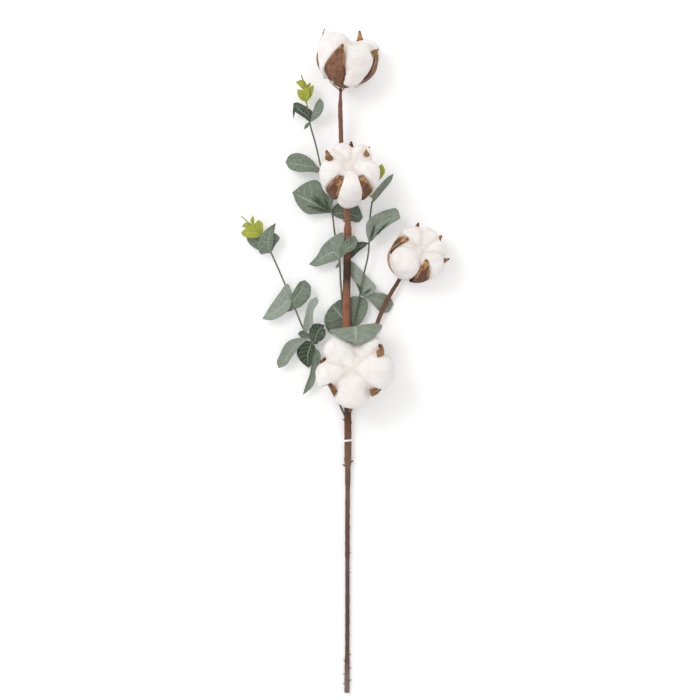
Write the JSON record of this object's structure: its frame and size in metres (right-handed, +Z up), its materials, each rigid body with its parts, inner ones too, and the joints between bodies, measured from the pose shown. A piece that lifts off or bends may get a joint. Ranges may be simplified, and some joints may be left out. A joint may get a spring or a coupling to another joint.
{
  "type": "artificial cotton stem with eucalyptus leaves",
  "caption": "Long artificial stem lying on a table, with open cotton bolls in brown husks, grey-green eucalyptus sprays and lime-green leaf tips.",
  "frame": {"origin": "on the table top, below the middle of the bunch's bounding box", "axes": "+Y along the stem from the cut foot towards the top boll, +Z up from the table, +X to the side of the lone side boll"},
  "size_m": [0.1696, 0.5398, 0.0653],
  "materials": {
    "stem_tape": "matt",
    "husk": "matt",
    "cotton": "matt",
    "leaf": "matt",
    "lime_leaf": "satin"
  },
  "bodies": {
    "root": {"main_stem": "stem_tape", "boll_2_stem": "stem_tape", "boll_3_stem": "stem_tape", "boll_4_stem": "stem_tape", "boll_1_bur": "husk", "boll_2_bur": "husk", "boll_3_bur": "husk", "boll_4_bur": "husk", "boll_1_cotton": "cotton", "boll_2_cotton": "cotton", "boll_3_cotton": "cotton", "boll_4_cotton": "cotton", "spray_a": "leaf", "spray_b": "leaf", "spray_c": "leaf", "tip_a": "lime_leaf", "tip_b": "lime_leaf", "tip_c": "lime_leaf"}
  },
  "joints": []
}
